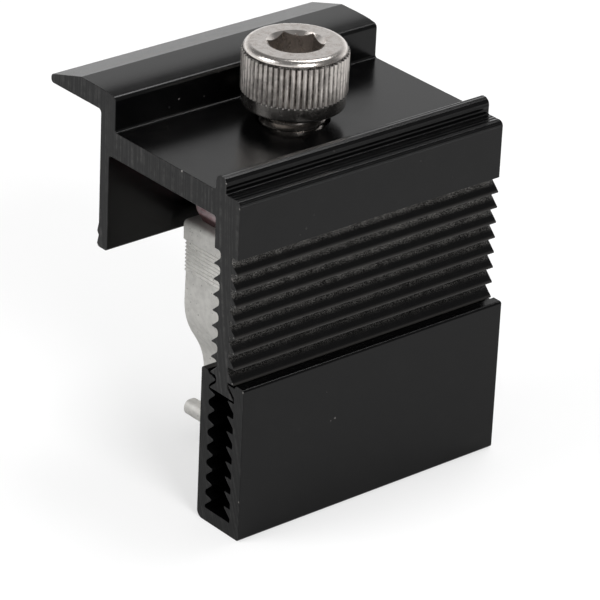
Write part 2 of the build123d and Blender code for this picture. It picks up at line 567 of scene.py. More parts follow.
@dataclass(frozen=True)
class ToothGrainAndSheen:
    """Pale torn grain with a painted sheen along the lit upper part of each tooth's slope, weaker on the lower teeth,
    and a painted highlight on each tip.

    Attributes:
        root_x: Where the teeth start, in metres.
        first_z: Height of the lowest tooth's underside, in metres.
        pitch: Tooth pitch in metres.
        count: Number of teeth.
        band: Share of the pitch over which the grain and its painted sheen set in.
        tip: Share of the pitch over which the painted tip highlight fades.
        least_grain: Least share of the grain between its grains.
        least_patch: Least share of the grain between its patches.
        least_sheen_below: Share of the grain and its painted sheen left on the lowest tooth.
        colour: Colour of the grain and its painted sheen.
        tip_highlight: Colour of the painted tip highlight.
    """

    root_x: float = 0.8 * MM
    first_z: float = 17.8 * MM
    pitch: float = 2.0 * MM
    count: int = 9
    band: Span = (0.34, 0.66)
    tip: Span = (0.20, 0.06)
    least_grain: float = 0.1
    least_patch: float = 0.5
    least_sheen_below: float = 0.25
    colour: Colour = (0.215, 0.208, 0.197, 1.0)
    tip_highlight: Colour = (0.020, 0.019, 0.018, 1.0)

    def lay(self, finish: Finish, place: bpy.types.Node, colour: Socket) -> Socket:
        """Lays the grain, its painted sheen and the painted tip highlights over a colour.

        Args:
            finish: Finish that the grain belongs to.
            place: Node with the object coordinate's parts.
            colour: Colour of the finish without it.

        Returns:
            The colour with the grain and the painted light.
        """
        graph = finish.graph
        rise = graph.math("DIVIDE", graph.math("SUBTRACT", place.outputs[2], self.first_z), self.pitch)
        phase = graph.math("FRACT", rise)
        front = graph.product(graph.math("GREATER_THAN", rise, 0.0),
                              graph.math("LESS_THAN", rise, float(self.count)),
                              graph.math("GREATER_THAN", place.outputs[0], self.root_x))
        torn = finish.effect(finish.effects.streaks, TORN_METAL)
        grain = graph.spread(graph.ramp(torn.outputs["Lines"], 0.42, 0.66), self.least_grain, 1.0)
        patchy = graph.spread(graph.ramp(torn.outputs["Mottle"], 0.35, 0.65), self.least_patch, 1.0)
        # Painted sheen over the torn grain, weaker towards the lower teeth.
        sheen_by_height = graph.spread(graph.ramp(rise, 0.0, float(self.count)), self.least_sheen_below, 1.0)
        amount = graph.product(front, graph.ramp(phase, *self.band), grain, patchy, sheen_by_height)
        # Painted highlight along each tooth's tip.
        tip_highlight_mask = graph.product(front, graph.ramp(phase, *self.tip))
        return graph.mix(amount, graph.mix(tip_highlight_mask, colour, self.tip_highlight), self.colour)


@dataclass(frozen=True)
class DieLines:
    """Fine lines that the die left along the bead, the shoulder and the rim of the front panel.

    Attributes:
        back_x: Where the lines start, in metres.
        bottom_z: Lowest height of the lines, in metres.
        pitch: Distance from line to line, in metres.
        depth: Depth of a line as a share of the finish's bump depth.
    """

    back_x: float = -1.9 * MM
    bottom_z: float = 42.5 * MM
    pitch: float = 0.55 * MM
    depth: float = 1.6

    def height(self, graph: Graph, place: bpy.types.Node) -> Socket:
        """Works out the height of the lines.

        Args:
            graph: Node tree to work in.
            place: Node with the object coordinate's parts.

        Returns:
            The height.
        """
        round_bead = graph.math("SUBTRACT", place.outputs[2], place.outputs[0])
        wave = graph.math("SINE", graph.product(round_bead, math.tau / self.pitch))
        return graph.product(wave, graph.math("GREATER_THAN", place.outputs[0], self.back_x),
                             graph.math("GREATER_THAN", place.outputs[2], self.bottom_z), self.depth)


@dataclass(frozen=True)
class BlackAnodised(Recipe):
    """Satin black anodised finish of the two extrusions.

    Attributes:
        half_length: Half the extrusion's length in metres.
        nicks: Small bare spots.
        grain: Grain with painted sheen and tip highlights on a piece's front teeth, where it has any.
        die_lines: Lines along a piece's bead, where it has one.
        colour: Colour on the drawn faces.
        pale: Colour where the drawn faces are slightly worn.
        cut_colour: Lowest and highest colour on the sawn ends.
        bare: Colour where a nick has reached the metal.
        roughness: Lowest and highest roughness.
        cut_roughness: What the sawn ends add to it.
        gloss: Index of refraction of the sealed surface.
        relief: Depth of the drawn lines and saw marks, in metres.
    """

    half_length: float
    nicks: tuple[Nick, ...] = ()
    grain: ToothGrainAndSheen | None = None
    die_lines: DieLines | None = None
    colour: Colour = (0.0008, 0.0008, 0.0009, 1.0)
    pale: Colour = (0.0032, 0.0031, 0.0030, 1.0)
    cut_colour: tuple[Colour, Colour] = ((0.0008, 0.0008, 0.0009, 1.0), (0.031, 0.030, 0.029, 1.0))
    bare: Colour = (0.42, 0.40, 0.38, 1.0)
    roughness: Span = (0.17, 0.27)
    cut_roughness: float = 0.16
    gloss: float = 1.36
    relief: float = 0.02 * MM

    def paint(self, finish: Finish, graph: Graph) -> None:
        """Wires the finish.

        Args:
            finish: Material to wire.
            graph: Its node tree.
        """
        effects = finish.effects
        place = graph.add("SeparateXYZ", {0: finish.coords})
        drawn = finish.effect(effects.streaks, DRAWN_ALONG_Y)
        ends = finish.effect(effects.cut_ends, {"Place": place.outputs[1], "Half Length": self.half_length})
        dust = finish.effect(effects.specks, DUST)
        worn = graph.ramp(drawn.outputs["Mottle"], 0.45, 0.85)
        colour = graph.mix(graph.product(worn, 0.6), self.colour, self.pale)
        if self.grain:
            colour = self.grain.lay(finish, place, colour)
        colour = graph.mix(graph.product(dust.outputs[0], 0.06), colour, self.bare)
        marks = graph.product(graph.ramp(ends.outputs["Arcs"], 0.46, 0.62),
                              graph.ramp(ends.outputs["Blotches"], 0.35, 0.68))
        colour = graph.mix(ends.outputs["Mask"], colour, graph.mix(marks, *self.cut_colour))
        finish.wire("Base Color", finish.nicks(colour, self.bare, self.nicks))
        rough = graph.spread(drawn.outputs["Mottle"], *self.roughness)
        finish.wire("Roughness", graph.math("MULTIPLY_ADD", ends.outputs["Mask"], self.cut_roughness, rough))
        cuts = graph.product(ends.outputs["Arcs"], ends.outputs["Mask"])
        height = graph.math("MULTIPLY_ADD", cuts, 2.0, graph.product(drawn.outputs["Lines"], 0.25))
        if self.die_lines:
            whole = graph.math("SUBTRACT", 1.0, ends.outputs["Mask"])
            height = graph.math("MULTIPLY_ADD", self.die_lines.height(graph, place), whole, height)
        finish.bump(height, self.relief, 0.6)
        finish.constant(IOR=self.gloss, Metallic=0.0)


@dataclass(frozen=True)
class MillAluminium(Recipe):
    """Plain drawn aluminium of the rail nut.

    Attributes:
        centre: Middle of the piece along the extrusion, in metres.
        half_length: Half the extrusion's length in metres.
        colour: Colour of the clean metal.
        dull: Colour of its duller patches.
        pit: Colour of its pits.
        roughness: Lowest and highest roughness.
        relief: Depth of the drawn lines and saw marks, in metres.
    """

    centre: float
    half_length: float
    colour: Colour = (0.63, 0.62, 0.59, 1.0)
    dull: Colour = (0.53, 0.52, 0.495, 1.0)
    pit: Colour = (0.20, 0.195, 0.18, 1.0)
    roughness: Span = (0.45, 0.65)
    relief: float = 0.03 * MM

    def paint(self, finish: Finish, graph: Graph) -> None:
        """Wires the finish.

        Args:
            finish: Material to wire.
            graph: Its node tree.
        """
        effects = finish.effects
        place = graph.add("SeparateXYZ", {0: finish.coords})
        drawn = finish.effect(effects.streaks, DRAWN_ALONG_X)
        ends = finish.effect(effects.cut_ends, {"Place": place.outputs[0], "Centre": self.centre,
                                                "Half Length": self.half_length, "Flatten": (0.0, 1.0, 1.0),
                                                "Saw": (0.0, 0.15, -0.02)})
        pits = finish.effect(effects.specks, NUT_PITS)
        shade = graph.ramp(drawn.outputs["Mottle"], 0.30, 0.70)
        colour = graph.mix(shade, self.dull, self.colour)
        finish.wire("Base Color", graph.mix(graph.product(pits.outputs[0], 0.8), colour, self.pit))
        finish.wire("Roughness", graph.spread(drawn.outputs["Lines"], *self.roughness))
        marks = graph.product(ends.outputs["Arcs"], ends.outputs["Mask"])
        finish.bump(graph.math("ADD", drawn.outputs["Lines"], marks), self.relief, 0.4)
        finish.constant(Metallic=0.35)


@dataclass(frozen=True)
class StainlessSteel(Recipe):
    """Bright cold-formed stainless steel of the screw, with painted shade in its knurl's hollows and end grooves and
    on its shank, and a painted sheen over its knurl.

    Attributes:
        axis: Point on the screw's axis, in metres.
        head_radius: Radius over the knurl's crests, in metres.
        knurl: Lowest and highest point of the knurl, in metres.
        seat: Height of the head's underside, in metres.
        colour: Colour of the clean steel.
        tarnish: Colour of its stains.
        hollow_shade: Painted shade in the knurl's hollows and its two end grooves.
        band_colour: Colour of the plain band under the knurl.
        knurl_sheen: Painted sheen laid over the whole knurl.
        burnt: Colour of the darker patches on the knurl.
        shank_shade: Painted shade over the shank and its thread.
        roughness: Lowest and highest roughness.
        knurl_roughness: What the knurl adds to it.
        relief: Depth of the forging marks, in metres.
        outer: Share of the head's radius beyond which the knurl and its band lie.
        fades: Half the heights over which the knurl's look sets in at its foot and ends at its top.
        valley: Shares of the head's radius between which the painted shade in a valley goes from none to full.
        groove_offsets: How far the two grooves of painted shade lie below and above the knurl.
        groove: Distances in metres from a groove's middle between which its painted shade goes from none to full.
    """

    axis: Vector
    head_radius: float
    knurl: Span
    seat: float
    colour: Colour = (0.52, 0.49, 0.465, 1.0)
    tarnish: Colour = (0.34, 0.29, 0.255, 1.0)
    hollow_shade: Colour = (0.045, 0.040, 0.037, 1.0)
    band_colour: Colour = (0.30, 0.285, 0.27, 1.0)
    knurl_sheen: Colour = (0.74, 0.695, 0.655, 1.0)
    burnt: Colour = (0.17, 0.155, 0.145, 1.0)
    shank_shade: Colour = (0.19, 0.175, 0.16, 1.0)
    roughness: Span = (0.17, 0.34)
    knurl_roughness: float = 0.07
    relief: float = 0.03 * MM
    outer: float = 0.8
    fades: Span = (0.05 * MM, 0.1 * MM)
    valley: Span = (0.984, 0.958)
    groove_offsets: Span = (0.12 * MM, 0.06 * MM)
    groove: Span = (0.19 * MM, 0.11 * MM)

    def paint(self, finish: Finish, graph: Graph) -> None:
        """Wires the finish.

        Args:
            finish: Material to wire.
            graph: Its node tree.
        """
        effects = finish.effects
        forged = finish.effect(effects.streaks, COLD_FORMED)
        pits = finish.effect(effects.specks, STEEL_PITS)
        patches = finish.effect(effects.streaks, BURNT_PATCHES)
        valleys, band, knurled, shank = self.head_zones(graph, finish.coords)
        stain = graph.ramp(forged.outputs["Mottle"], 0.42, 0.72)
        burnt = graph.math("MAXIMUM", graph.ramp(patches.outputs["Mottle"], 0.46, 0.60),
                           graph.ramp(patches.outputs["Lines"], 0.50, 0.66))
        # Patchy strength of the painted shade in the knurl's hollows and grooves.
        hollow_shade_strength = graph.spread(graph.ramp(forged.outputs["Mottle"], 0.40, 0.60), 0.6, 1.0)
        colour = self.colour
        for amount, coat in ((graph.product(stain, 0.6), self.tarnish),
                             (graph.product(pits.outputs[0], 0.8), self.tarnish),
                             # Painted sheen over the whole knurl.
                             (graph.product(knurled, 0.8), self.knurl_sheen),
                             (graph.product(knurled, burnt, 0.5), self.burnt),
                             # Painted shade over the shank and its thread.
                             (graph.product(shank, 0.6), self.shank_shade),
                             # Painted shade in the knurl's hollows and grooves.
                             (graph.product(valleys, hollow_shade_strength), self.hollow_shade),
                             (band, self.band_colour)):
            colour = graph.mix(amount, colour, coat)
        finish.wire("Base Color", colour)
        rough = graph.spread(forged.outputs["Mottle"], *self.roughness)
        finish.wire("Roughness", graph.math("MULTIPLY_ADD", knurled, self.knurl_roughness, rough))
        height = graph.math("SUBTRACT", forged.outputs["Lines"], graph.product(pits.outputs[0], 0.6))
        finish.bump(height, self.relief, 0.4)
        finish.constant(Metallic=1.0)

    def head_zones(self, graph: Graph, coords: Socket) -> tuple[Socket, Socket, Socket, Socket]:
        """Finds the screw's zones by radius and height.

        Args:
            graph: Node tree to work in.
            coords: Object coordinate.

        Returns:
            The masks of the painted shade in the knurl's hollows and grooves, of the plain band under it, of the whole
            knurl and of the shank.
        """
        offset = graph.add("VectorMath", {0: coords, 1: self.axis}, operation="SUBTRACT")
        level = graph.add("VectorMath", {0: offset.outputs[0], 1: (1.0, 1.0, 0.0)}, operation="MULTIPLY")
        radius = graph.add("VectorMath", {0: level.outputs[0]}, operation="LENGTH").outputs["Value"]
        height = graph.add("SeparateXYZ", {0: coords}).outputs[2]
        share = graph.math("DIVIDE", radius, self.head_radius)
        low, high = self.knurl
        outer = graph.math("GREATER_THAN", share, self.outer)
        above = graph.ramp(height, low - self.fades[0], low + self.fades[0])
        below = graph.ramp(height, high + self.fades[1], high - self.fades[1])
        knurled = graph.product(outer, above, below)
        # Painted shade in the knurl's hollows, and along a groove at each end of the knurl.
        valleys = graph.product(knurled, graph.ramp(share, *self.valley))
        for edge in (low - self.groove_offsets[0], high + self.groove_offsets[1]):
            away = graph.math("ABSOLUTE", graph.math("SUBTRACT", height, edge))
            valleys = graph.math("MAXIMUM", valleys, graph.product(graph.ramp(away, *self.groove), outer))
        band = graph.product(outer, graph.math("SUBTRACT", 1.0, above))
        return valleys, band, knurled, graph.math("LESS_THAN", height, self.seat - 2 * NEAR)


@dataclass(frozen=True)
class SoftPlastic(Recipe):
    """Translucent pinkish soft plastic of the spacer pad, darker where it stands in its own shade.

    Attributes:
        foot: Heights in metres between which the colour goes from dark to clear.
        colour: Colour of the lit plastic.
        cloudy: Colour of its milky clouds.
        shade_colour: Colour of the painted shade near the nut.
        roughness: Lowest and highest roughness.
        relief: Depth of its waves, in metres.
    """

    foot: Span
    colour: Colour = (0.31, 0.21, 0.222, 1.0)
    cloudy: Colour = (0.47, 0.38, 0.39, 1.0)
    shade_colour: Colour = (0.075, 0.032, 0.034, 1.0)
    roughness: Span = (0.2, 0.45)
    relief: float = 0.12 * MM

    def paint(self, finish: Finish, graph: Graph) -> None:
        """Wires the finish.

        Args:
            finish: Material to wire.
            graph: Its node tree.
        """
        cast = finish.effect(finish.effects.streaks, CAST_PLASTIC)
        colour = graph.mix(graph.ramp(cast.outputs["Mottle"], 0.30, 0.75), self.colour, self.cloudy)
        height = graph.add("SeparateXYZ", {0: finish.coords}).outputs[2]
        # Painted shade towards the nut, where the pad stands in its own shade.
        finish.wire("Base Color", graph.mix(graph.ramp(height, *reversed(self.foot)), colour, self.shade_colour))
        finish.wire("Roughness", graph.spread(cast.outputs["Lines"], *self.roughness))
        finish.bump(cast.outputs["Lines"], self.relief, 0.5)
        finish.constant(IOR=1.43, Subsurface_Weight=0.5, Subsurface_Radius=(1.0, 0.4, 0.4),
                        Subsurface_Scale=2.0 * MM)


@dataclass
class EasedSolid:
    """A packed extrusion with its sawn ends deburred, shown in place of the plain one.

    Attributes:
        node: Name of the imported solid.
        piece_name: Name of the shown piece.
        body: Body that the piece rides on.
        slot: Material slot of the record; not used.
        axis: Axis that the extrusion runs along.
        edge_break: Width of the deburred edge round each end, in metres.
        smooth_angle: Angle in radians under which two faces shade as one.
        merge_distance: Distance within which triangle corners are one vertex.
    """

    node: str
    piece_name: str
    body: str
    slot: str
    axis: CutAxis = CutAxis.Y
    edge_break: float = 0.05 * MM
    smooth_angle: float = math.radians(24.0)
    merge_distance: float = 0.0004 * MM

    def copy_solid(self, frame: dict) -> Piece:
        """Copies the solid and welds its triangles.


        Returns:
            The copy.
        """
        piece = bpy.data.objects.new(self.piece_name, frame["nodes"][self.node].data.copy())
        piece.data.name = self.piece_name
        bpy.context.scene.collection.objects.link(piece)
        edit_all(piece)
        bpy.ops.mesh.customdata_custom_splitnormals_clear()
        bpy.ops.mesh.remove_doubles(threshold=self.merge_distance)
        close_edit()
        return piece

    def deburr_end(self, piece: Piece, end: float, outward: float) -> None:
        """Breaks the edge round one sawn end, without making the piece longer.

        Args:
            piece: The copy.
            end: Where the end face lies along the axis.
            outward: 1 where the end face looks along the axis, and -1 where it looks back.
        """
        along = self.axis.value
        step = [0.0, 0.0, 0.0]
        step[along] = -outward * self.edge_break
        edit_picked(piece, Pick.FACES,
                    lambda centre, normal: (abs(centre[along] - end) < NEAR
                                            and normal[along] * outward > 0.99))
        bpy.ops.transform.translate(value=step)
        bpy.ops.mesh.inset(thickness=self.edge_break, depth=self.edge_break, use_even_offset=True)
        close_edit()

    def build(self, frame: dict, material: bpy.types.Material, reshape: Reshape | None = None) -> None:
        """Builds the piece, puts it in the solid's place and dresses it.

        Args:
            material: Its finish.
            reshape: Last small change to the piece's shape.
        """
        piece = self.copy_solid(frame)
        low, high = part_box(self.node)
        along = self.axis.value
        self.deburr_end(piece, low[along], -1.0)
        self.deburr_end(piece, high[along], 1.0)
        if reshape:
            reshape(piece)
        settle(piece, self.smooth_angle)
        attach(piece, self.body)
        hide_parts(self.node)
        dress(piece, self.node, material)


@dataclass
class SpacerPad:
    """The soft pad: a squeezed block with rounded corners and a bore for the screw.

    Attributes:
        low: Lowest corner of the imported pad.
        high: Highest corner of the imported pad.
        corner_radius: Radius of the upright corners.
        shelf_height: Height above the nut at which the pad starts to narrow.
        shelf_radius: Radius round the pad at that height.
        foot_scale: Share of its width that the pad has on the nut.
        top_radius: Radius round the top, under the plate.
        bore_radius: Radius of the bore.
        waist: Share of its width that the pad keeps at its waist.
        segments: Number of faces across a rounding.
        bore_facets: Number of faces round the bore.
        smooth_angle: Angle in radians under which two faces shade as one.
        shaded: Heights above the nut between which the plastic goes from dark to clear.
    """

    low: Vector
    high: Vector
    corner_radius: float = 1.5 * MM
    shelf_height: float = 1.45 * MM
    shelf_radius: float = 0.5 * MM
    foot_scale: float = 0.93
    top_radius: float = 0.7 * MM
    bore_radius: float = 4.3 * MM
    waist: float = 0.985
    segments: int = 8
    bore_facets: int = 64
    smooth_angle: float = math.radians(35.0)
    shaded: Span = (0.75 * MM, 1.4 * MM)

    @property
    def foot(self) -> Span:
        """Heights between which the plastic goes from dark to clear."""
        return self.low.z + self.shaded[0], self.low.z + self.shaded[1]

    def build(self, material: bpy.types.Material) -> None:
        """Args:
            material: The plastic.
        """
        middle = (self.low + self.high) / 2
        bpy.ops.mesh.primitive_cube_add(size=1.0, location=middle, scale=self.high - self.low)
        pad = rename("spacer_pad_block")
        apply_place(pad)
        round_picked(pad, lambda a, b: abs(a.z - b.z) > NEAR, self.corner_radius, self.segments)
        shelf = self.low.z + self.shelf_height
        for height in (shelf, middle.z):
            cut_ring(pad, (0.0, 0.0, height), (0.0, 0.0, 1.0))
        scale_picked(pad, lambda v: v.z < self.low.z + NEAR, (self.foot_scale, self.foot_scale, 1.0), middle)
        for height, radius in ((shelf, self.shelf_radius), (self.high.z, self.top_radius)):
            round_picked(pad, level_with(height), radius, self.segments)
        scale_picked(pad, lambda v: abs(v.z - middle.z) < NEAR, (self.waist, self.waist, 1.0), middle)
        bpy.ops.mesh.primitive_cylinder_add(vertices=self.bore_facets, radius=self.bore_radius,
                                            depth=2 * (self.high.z - self.low.z), location=middle)
        cut_away(pad, rename("pad_bore_cutter"))
        settle(pad, self.smooth_angle)
        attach(pad, "nut")
        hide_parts("spacer_pad")
        dress(pad, "spacer_pad", material)


@dataclass
class ThreadedScrew:
    """The clamping screw: knurled head with a hexagon socket, and a threaded shank.

    Attributes:
        low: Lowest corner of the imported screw.
        high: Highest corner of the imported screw.
        head_height: Height of the head.
        rim_radius: Radius of the rounding round the head's top, twice the one round its seat.
        rim_segments: Number of faces across those two roundings.
        band_height: Height of the plain band under the knurl.
        crown_height: Height of the plain part over the knurl.
        ridges: Number of ridges of the knurl.
        columns_per_ridge: Number of columns of vertices to a ridge.
        valley_scales: Share of the radius at each column, from a valley to its crest.
        knurl_fade: Height over which a ridge runs out at its ends.
        fade_rings: Where the rings round each end of the knurl are, in such heights beyond it.
        band_scale: Share of the radius of the plain parts.
        socket_width: Width of the hexagon across its flats.
        socket_depth: Depth of the hexagon.
        socket_turn: Turn of the hexagon about the screw's axis.
        mouth_radius: Radius of the coned mouth at the top.
        mouth_depth: Depth of the coned mouth.
        drill_depth: Depth of the drill's cone under the hexagon.
        drill_point: Radius of the cone's blunt point.
        overlap: How far the shank reaches out into the thread, and up into the head.
        thread_pitch: Pitch of the thread.
        thread_root: Radius of the thread's root.
        thread_crest: Radius of the thread's crest.
        thread_widths: Half the ridge's width at its root and crest, as shares of the pitch.
        thread_steps: Number of faces to a turn.
        tip_chamfer: Twice the width of the chamfer round the tip.
        thread_start: Share of tip_chamfer that the thread leaves free.
        smooth_angle: Angle in radians under which two faces shade as one.
        facets: Number of faces round a turned surface.
        pieces: The shown pieces once they are built, the head first.
    """

    low: Vector
    high: Vector
    head_height: float = 7.8 * MM
    rim_radius: float = 0.85 * MM
    rim_segments: tuple[int, int] = (7, 4)
    band_height: float = 1.9 * MM
    crown_height: float = 0.9 * MM
    ridges: int = 56
    columns_per_ridge: int = 8
    valley_scales: tuple[float, ...] = (0.958, 0.968, 0.988, 0.998)
    knurl_fade: float = 0.12 * MM
    fade_rings: tuple[float, ...] = (2.2, 1.0, 0.0)
    band_scale: float = 0.972
    socket_width: float = 6.0 * MM
    socket_depth: float = 4.0 * MM
    socket_turn: float = math.radians(15.0)
    mouth_radius: float = 3.52 * MM
    mouth_depth: float = 0.5 * MM
    drill_depth: float = 0.9 * MM
    drill_point: float = 0.05 * MM
    overlap: Span = (0.03 * MM, 0.05 * MM)
    thread_pitch: float = 1.25 * MM
    thread_root: float = 3.40 * MM
    thread_crest: float = 3.98 * MM
    thread_widths: Span = (0.44, 0.07)
    thread_steps: int = 48
    tip_chamfer: float = 0.9 * MM
    thread_start: float = 0.75
    smooth_angle: float = math.radians(32.0)
    facets: int = 96
    pieces: list[Piece] = field(default_factory=list)

    @property
    def axis(self) -> Vector:
        """Point where the screw's axis meets the floor."""
        return Vector(((self.low.x + self.high.x) / 2, (self.low.y + self.high.y) / 2, 0.0))

    @property
    def head_radius(self) -> float:
        """Radius over the knurl's crests."""
        return (self.high.x - self.low.x) / 2

    @property
    def seat(self) -> float:
        """Height of the head's underside."""
        return self.high.z - self.head_height

    @property
    def knurl(self) -> Span:
        """Lowest and highest point of the knurl."""
        return self.seat + self.band_height, self.high.z - self.crown_height

    def on_axis(self, height: float) -> Vector:
        """Gives the point of the screw's axis at a height."""
        return self.axis + Vector((0.0, 0.0, height))

    def column_of(self, place: Vector) -> int:
        """Counts how many columns of the knurl a vertex is from the nearest valley.

        Args:
            place: The vertex.

        Returns:
            0 in a valley, and up to half a ridge's columns on a crest.
        """
        angle = math.atan2(place.y - self.axis.y, place.x - self.axis.x)
        columns = self.ridges * self.columns_per_ridge
        index = round(angle / math.tau * columns) % self.columns_per_ridge
        return min(index, self.columns_per_ridge - index)

    def build_head(self) -> Piece:
        """Models the head from a cylinder.

        Returns:
            The head.
        """
        bpy.ops.mesh.primitive_cylinder_add(
            vertices=self.ridges * self.columns_per_ridge, radius=self.head_radius, depth=self.head_height,
            location=self.on_axis(self.seat + self.head_height / 2))
        head = rename("screw_head")
        apply_place(head)
        low, high = self.knurl
        for steps in self.fade_rings:
            for height in (low - steps * self.knurl_fade, high + steps * self.knurl_fade):
                cut_ring(head, (0.0, 0.0, height), (0.0, 0.0, 1.0))
        low, high = low - 2 * NEAR, high + 2 * NEAR
        for distance, scale in enumerate(self.valley_scales):
            scale_picked(head, lambda v, d=distance: low < v.z < high and self.column_of(v) == d,
                         (scale, scale, 1.0), self.axis)
        scale_picked(head, lambda v: v.z < low or v.z > high, (self.band_scale, self.band_scale, 1.0), self.axis)
        round_picked(head, level_with(self.high.z), self.rim_radius, self.rim_segments[0])
        round_picked(head, level_with(self.seat), self.rim_radius / 2, self.rim_segments[1])
        self.cut_socket(head)
        settle(head, self.smooth_angle)
        return head

    def cut_socket(self, head: Piece) -> None:
        """Cuts the hexagon socket, its coned mouth and the drill's cone at its bottom.

        Args:
            head: The head.
        """
        corner = self.socket_width / math.sqrt(3)
        over = 0.3 * MM
        bottom = self.high.z - self.socket_depth
        mouth_bottom = self.high.z - self.mouth_depth
        for vertices, low_radius, high_radius, low, high, turn in (
                (6, corner, corner, bottom, self.high.z + over, self.socket_turn),
                (self.facets, self.mouth_radius - self.mouth_depth, self.mouth_radius + over, mouth_bottom,
                 self.high.z + over, 0.0),
                (self.facets, self.drill_point, self.socket_width / 2, bottom - self.drill_depth + NEAR,
                 bottom + NEAR, 0.0)):
            bpy.ops.mesh.primitive_cone_add(vertices=vertices, radius1=low_radius, radius2=high_radius,
                                            depth=high - low, location=self.on_axis((low + high) / 2),
                                            rotation=(0.0, 0.0, turn))
            cut_away(head, rename("socket_cutter"))

    def build_core(self) -> Piece:
        """Models the shank under the thread, with its chamfered tip.

        Returns:
            The core.
        """
        outward, upward = self.overlap
        top = self.seat + upward
        bpy.ops.mesh.primitive_cylinder_add(
            vertices=self.facets, radius=self.thread_root + outward, depth=top - self.low.z,
            location=self.on_axis((top + self.low.z) / 2))
        core = rename("screw_shank")
        apply_place(core)
        round_picked(core, level_with(self.low.z), self.tip_chamfer / 2, 1)
        settle(core, self.smooth_angle)
        return core

    def build_thread(self) -> Piece:
        """Models the thread's ridge as one flank profile carried along a helix.

        Returns:
            The thread.
        """
        half_root, half_crest = (width * self.thread_pitch for width in self.thread_widths)
        start = self.low.z + self.tip_chamfer * self.thread_start
        turns = int((self.seat - start) / self.thread_pitch)
        bpy.ops.mesh.primitive_plane_add(size=1.0, location=(0.0, 0.0, 0.0))
        thread = rename("screw_thread")
        corners = ((self.thread_root, -half_root), (self.thread_crest, -half_crest),
                   (self.thread_root, half_root), (self.thread_crest, half_crest))
        for vertex, (radius, rise) in zip(thread.data.vertices, corners):
            vertex.co = Vector((radius, 0.0, rise))
        apply_modifier(thread, "SCREW", angle=math.tau, screw_offset=self.thread_pitch, iterations=turns,
                       steps=self.thread_steps, render_steps=self.thread_steps, axis="Z",
                       use_merge_vertices=True, merge_threshold=0.0005 * MM)
        thread.location = self.on_axis(start)
        apply_place(thread)
        edit_all(thread)
        bpy.ops.mesh.normals_make_consistent(inside=False)
        close_edit()
        settle(thread, self.smooth_angle)
        return thread

    def build(self, material: bpy.types.Material) -> None:
        """Models the screw's pieces, seats them on their body and dresses them.

        Args:
            material: The steel.
        """
        self.pieces = [self.build_head(), self.build_core(), self.build_thread()]
        for piece in self.pieces:
            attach(piece, "screw")
            dress(piece, "clamp_screw", material)
        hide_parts("clamp_screw")


@dataclass(frozen=True)
class Softbox:
    """One soft rectangular lamp.

    Attributes:
        name: Name of the lamp.
        place: Where it stands, in metres.
        size: Width and height in metres.
        power: Power in watts.
        aim: Point that it faces, in metres.
    """

    name: str
    place: Place
    size: float
    power: float
    aim: Place = (-0.01, 0.0, 0.03)

    def add(self) -> None:
        """Adds the lamp to the scene."""
        bpy.ops.object.light_add(type="AREA", location=self.place)
        lamp = bpy.context.active_object
        lamp.name = self.name
        lamp.data.shape = "RECTANGLE"
        lamp.data.size = lamp.data.size_y = self.size
        lamp.data.energy = self.power
        lamp.rotation_euler = (Vector(self.aim) - Vector(self.place)).to_track_quat("-Z", "Y").to_euler()


